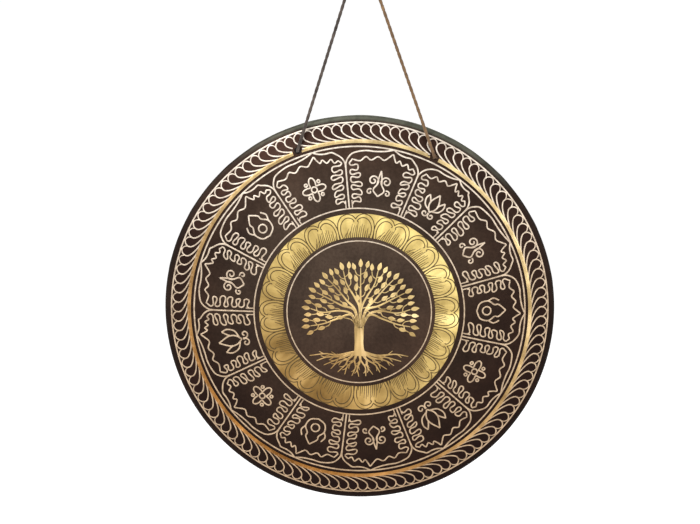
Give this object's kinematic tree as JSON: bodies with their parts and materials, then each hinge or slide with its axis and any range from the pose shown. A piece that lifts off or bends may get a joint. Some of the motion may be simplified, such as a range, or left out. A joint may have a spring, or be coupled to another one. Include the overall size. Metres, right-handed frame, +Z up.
{
  "type": "gong",
  "caption": "Hand-hammered round bronze gong with an engraved face and a turned-back rim, hung from a knotted twisted cord through two holes.",
  "frame": {"origin": "the hang point, where the inside of the cord's top loop rests on a hook", "axes": "+Z up; the gong's face looks towards -Y and its hollow back towards +Y; +X to the right as one faces the gong"},
  "size_m": [0.305, 0.0292, 0.4871],
  "materials": {
    "patinated_bronze": "dark patina, hammered, satin",
    "polished_engraving": "cut and burnished bright",
    "cord_fibre": "twisted two-ply cord, matt"
  },
  "bodies": {
    "loop": {"top_loop": "cord_fibre"},
    "knot": {"top_knot": "cord_fibre"},
    "strands": {"cord_left": "cord_fibre", "cord_right": "cord_fibre"},
    "gong": {"gong_plate": "patinated_bronze", "hole_knot_left": "cord_fibre", "hole_knot_right": "cord_fibre"}
  },
  "joints": [
    {"name": "cord_twist", "type": "hinge", "parent": "loop", "child": "knot", "pos_m": [0, 0, -0.048], "axis": [0, 0, 1], "range_deg": [-90, 90]},
    {"name": "cord_swing", "type": "hinge", "parent": "knot", "child": "strands", "pos_m": [0, 0, -0.048], "axis": [1, 0, 0], "range_deg": [-35, 35]},
    {"name": "gong_tilt", "type": "hinge", "parent": "strands", "child": "gong", "pos_m": [-0.04864, 0, -0.2066], "axis": [0.9994, 0, -0.0358], "range_deg": [-60, 10]}
  ]
}
